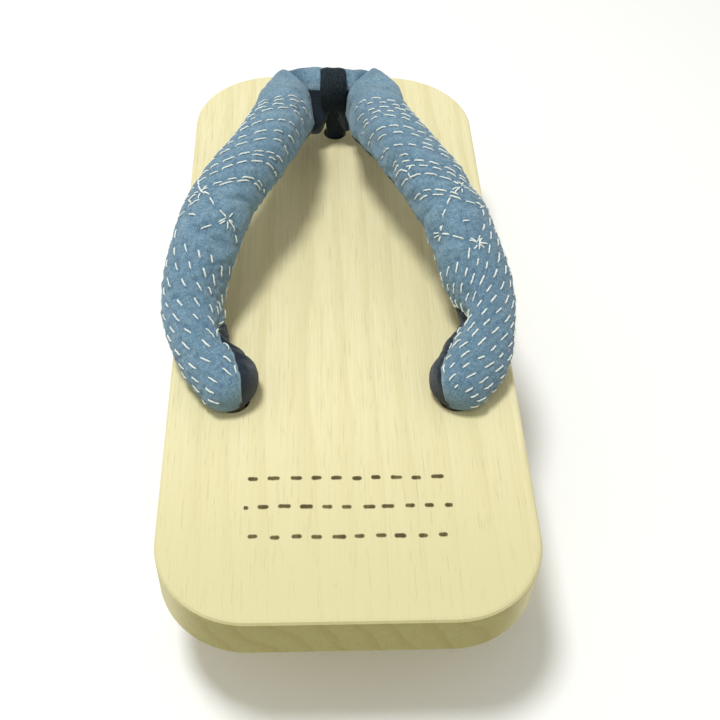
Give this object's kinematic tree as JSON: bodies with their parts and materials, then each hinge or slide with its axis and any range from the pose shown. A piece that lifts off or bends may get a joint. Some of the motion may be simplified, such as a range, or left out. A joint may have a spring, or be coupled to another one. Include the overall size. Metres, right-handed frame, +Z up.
{
  "type": "geta sandal",
  "caption": "Wooden geta sandal: a rounded deck on two teeth, a padded stitched cloth strap in a V and a dark toe loop through the deck.",
  "frame": {"origin": "on the floor, under the middle of the deck's length and width", "axes": "+X to the wearer's right, +Y toward the toe, +Z up"},
  "size_m": [0.1136, 0.252, 0.0886],
  "materials": {
    "paulownia": "plain sanded pale wood with fine straight grain along the shoe",
    "strap_cloth": "light indigo plain-weave cotton with off-white running stitches",
    "strap_lining": "navy cotton underside of the strap",
    "stitch_thread": "off-white running-stitch thread",
    "loop_velvet": "near-black velvet ribbon",
    "knot_cord": "twisted natural cord"
  },
  "bodies": {
    "root": {"deck": "paulownia", "strap": "strap_cloth", "toe_loop": "loop_velvet", "front_knot": "knot_cord", "rear_knot_right": "knot_cord", "rear_knot_left": "knot_cord"}
  },
  "joints": []
}
